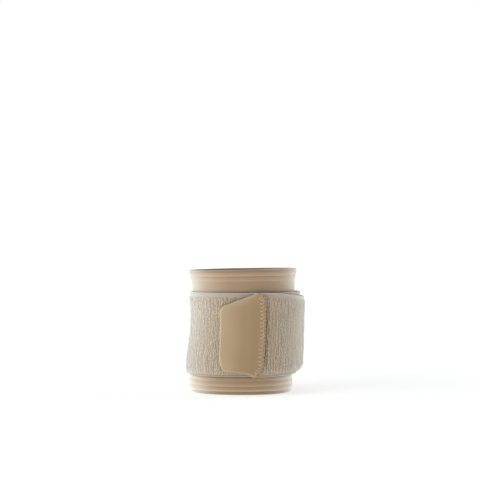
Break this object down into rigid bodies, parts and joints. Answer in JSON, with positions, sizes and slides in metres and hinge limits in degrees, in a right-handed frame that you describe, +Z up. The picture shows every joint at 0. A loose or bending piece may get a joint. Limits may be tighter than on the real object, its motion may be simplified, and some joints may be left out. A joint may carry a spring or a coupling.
{
  "type": "wrist wrap",
  "caption": "Elastic wrist wrap: an oval sleeve with ribbed hems, a wide loop-faced strap wound round it, and a smooth closing tab sewn to the strap's end.",
  "frame": {"origin": "centre of the bounding box's bottom, on the surface that the lower rim stands on", "axes": "+Z up along the wrist toward the hand, +X to the right seen from the front, -Y to the front, where the closing tab lies"},
  "size_m": [0.0746, 0.0544, 0.0766],
  "materials": {
    "sleeve_elastic": "matte ribbed elastic",
    "strap_loop_pile": "matte loop pile on elastic",
    "tab_fabric": "smooth brushed fabric",
    "hook_tape": "woven nylon hook tape"
  },
  "bodies": {
    "root": {"wrist_sleeve": "sleeve_elastic", "wrap_strap": "strap_loop_pile", "closure_tab": "tab_fabric", "hook_pad": "hook_tape"}
  },
  "joints": []
}
